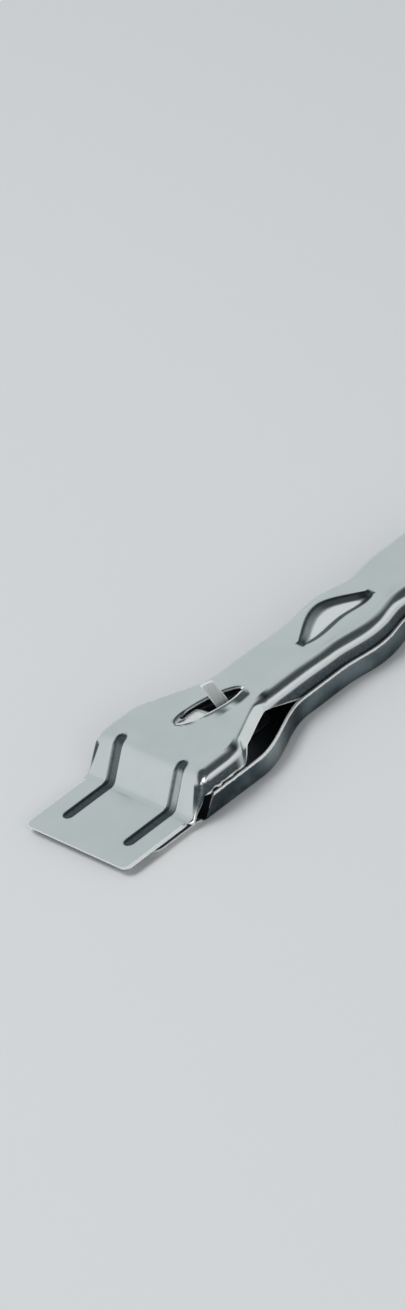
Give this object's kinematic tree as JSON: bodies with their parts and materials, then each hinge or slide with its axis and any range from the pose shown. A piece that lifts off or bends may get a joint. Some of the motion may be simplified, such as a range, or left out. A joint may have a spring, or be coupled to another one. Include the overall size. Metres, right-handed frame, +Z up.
{
  "type": "hand scraper",
  "caption": "Pressed-steel hand scraper: a wide flat tongue and a narrow grip, a thumb lug that slides a razor blade out under the tongue, and a cover that tips up at the rear to change it.",
  "frame": {"origin": "on the surface that the channel rests on, in the middle of the tool's plan box", "axes": "+X along the tool from the scraping edge to the grip, +Y across it to its left, +Z up"},
  "size_m": [0.149, 0.044, 0.0187],
  "materials": {
    "plated_cover": "satin nickel plate",
    "plated_channel": "bright nickel plate",
    "blade_steel": "ground steel",
    "slide_steel": "plain plated steel",
    "lug_steel": "satin plated steel",
    "spring_steel": "bright spring steel",
    "rivet_steel": "plated steel"
  },
  "bodies": {
    "channel": {"lower_channel": "plated_channel", "hinge_pin": "rivet_steel", "hinge_spacer": "slide_steel"},
    "cover": {"top_cover": "plated_cover"},
    "slider": {"blade_carriage": "slide_steel", "scraper_blade": "blade_steel", "blade_stud_left": "rivet_steel", "blade_stud_right": "rivet_steel", "thumb_lug": "lug_steel", "lug_rivet": "rivet_steel", "detent_spring": "spring_steel", "spring_rivet": "rivet_steel"}
  },
  "joints": [
    {"name": "blade_slide", "type": "slide", "parent": "channel", "child": "slider", "axis": [-1, 0, 0], "range_m": [-0.002, 0.008]},
    {"name": "cover_hinge", "type": "hinge", "parent": "channel", "child": "cover", "pos_m": [0.064, 0, 0.004], "axis": [0, 1, 0], "range_deg": [0, 28]}
  ]
}
